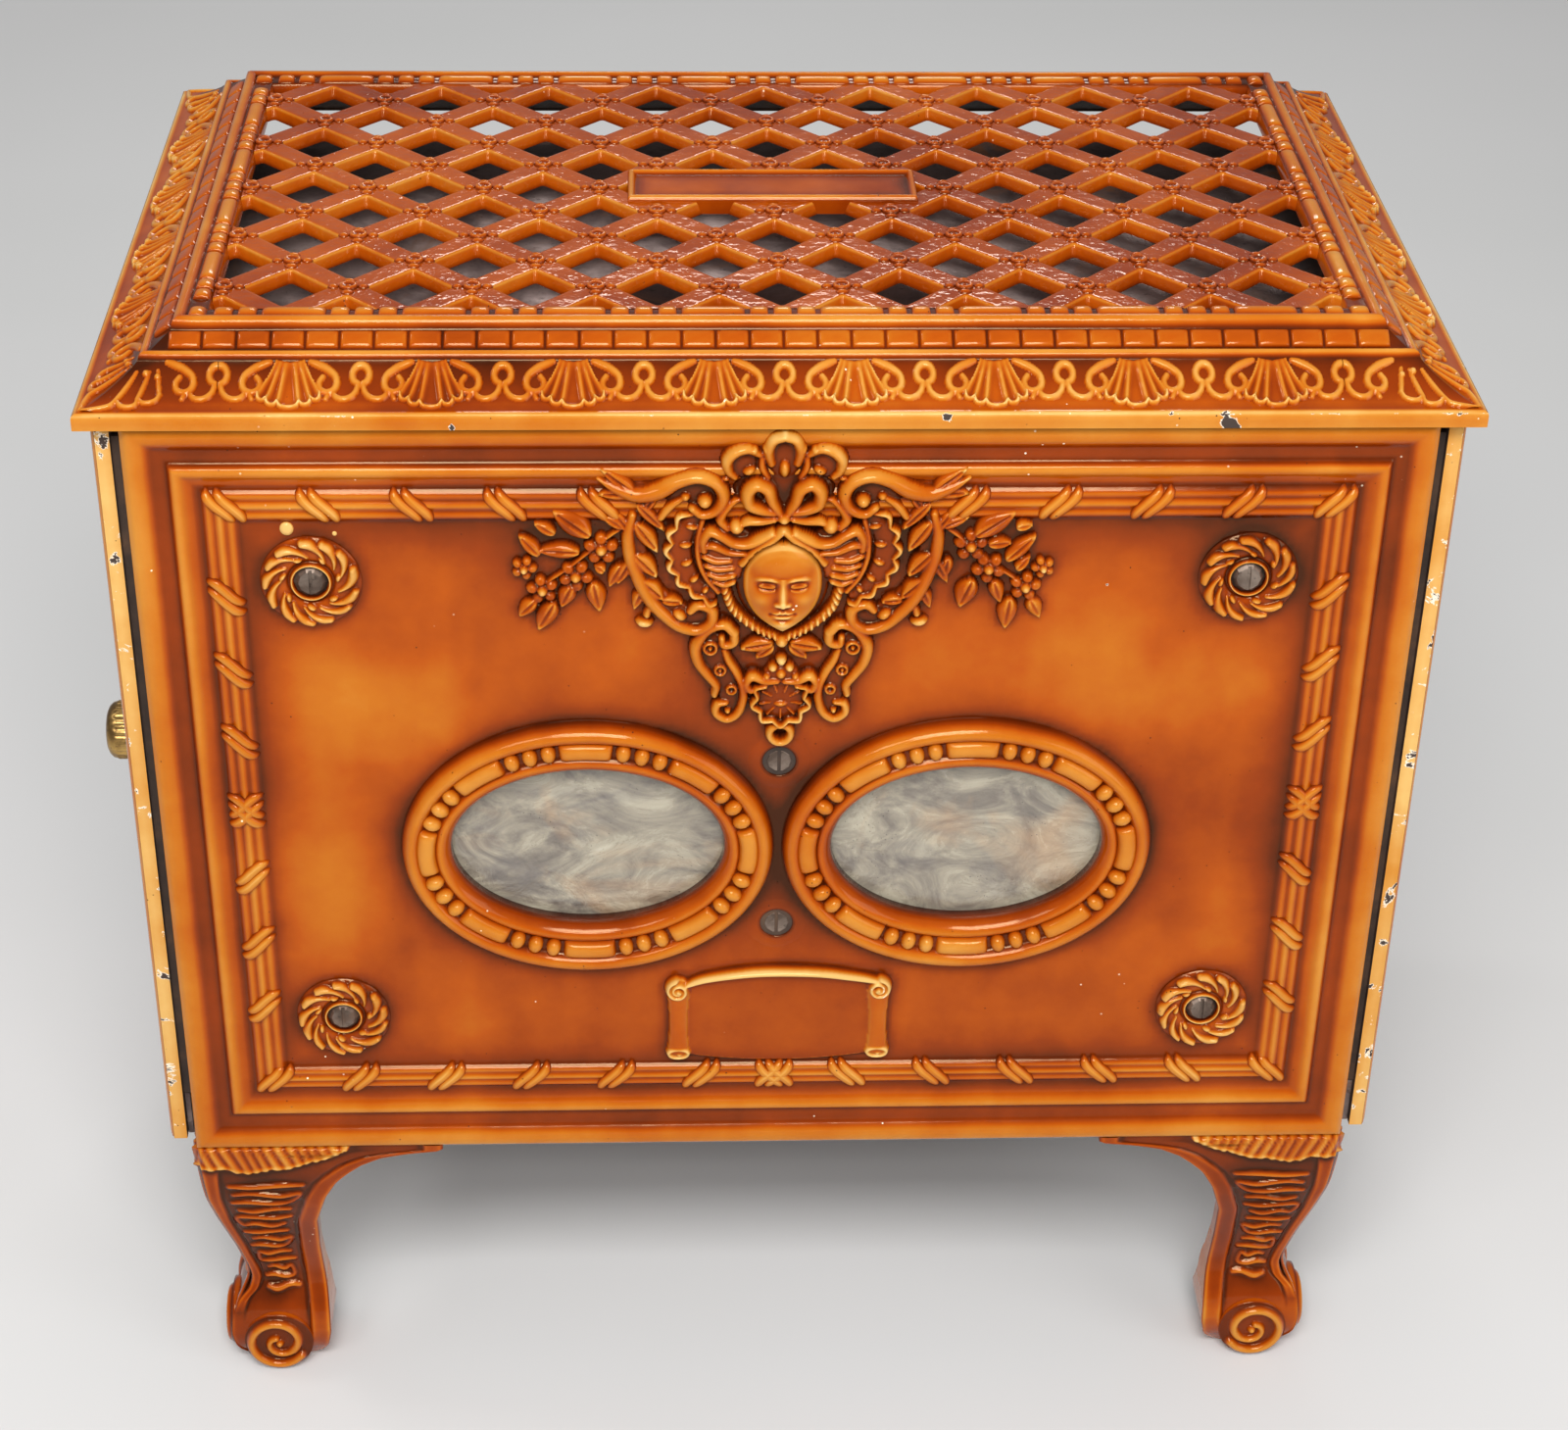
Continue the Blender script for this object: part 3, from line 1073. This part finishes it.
def spindle(side, sign, finish):
    """The spindle with its toothed wheel, and the knob outside the casing."""
    x = burner_x(sign)
    inner = x - sign * (EAR_OFFSET + 2 * EAR_THICK)
    face = sign * (SIDE_OUTER + RIBBON_RISE + KNOB_CLEARANCE)
    end = sign * (SIDE_OUTER + KNOB_REACH)
    tip = end - sign * KNOB_HUB
    low, high = sorted((inner, tip))
    piece = rod("spindle_" + side, (0, SPINDLE_Y, SPINDLE_HEIGHT), SPINDLE_RADIUS, low, high, "x",
                finish["bolt"])
    teeth = []
    for i in range(2 * WHEEL_TEETH):
        radius = WHEEL_ROOT if i % 2 else WHEEL_RADIUS
        turn = math.pi * (1 + i / WHEEL_TEETH)
        teeth.append((SPINDLE_Y + radius * math.cos(turn), SPINDLE_HEIGHT + radius * math.sin(turn)))
    join(piece, outline("wheel_" + side, teeth, "yz", x - WHEEL_WIDTH / 2, x + WHEEL_WIDTH / 2))
    length = abs(end - face)
    bore = SPINDLE_RADIUS + GAP
    depth = abs(tip - face) + GAP
    profile = [(0, length), (KNOB_RADIUS * 0.7, length), (KNOB_RADIUS * 0.92, length * 0.94),
               (KNOB_RADIUS, length * 0.85), (KNOB_RADIUS, length * 0.5),
               (KNOB_RADIUS * 0.88, length * 0.42), (KNOB_HUB, length * 0.35), (KNOB_HUB, 0),
               (bore, 0), (bore, depth), (0, depth)]
    where = Matrix.Translation((face, SPINDLE_Y, SPINDLE_HEIGHT))
    turned("knob_" + side, profile, where @ facing("+x" if sign > 0 else "-x"), finish["brass"])
    return piece


def build():
    """Make every piece."""
    clear_scene()
    finish = make_materials()
    front_panel(finish)
    fix_front(finish)
    for side, sign in SIDES.items():
        side_plate(side, sign, finish)
        runner(side, sign, finish)
        burner(side, sign, finish)
        burner_cone(side, sign, finish)
        wick(side, sign, finish)
        spindle(side, sign, finish)
    for name, sign, height in rosette_points():
        strap(name, sign, height, finish)
    for name, sign_x, sign_y, _, _ in leg_bolt_points():
        leg(name, sign_x, sign_y, finish)
    leg_fixings(finish)
    back_rail(finish)
    floor_tray(finish)
    baffle(finish)
    lid(finish)
    tank(finish)
    filler(finish)
    tank_handle(finish)


build()
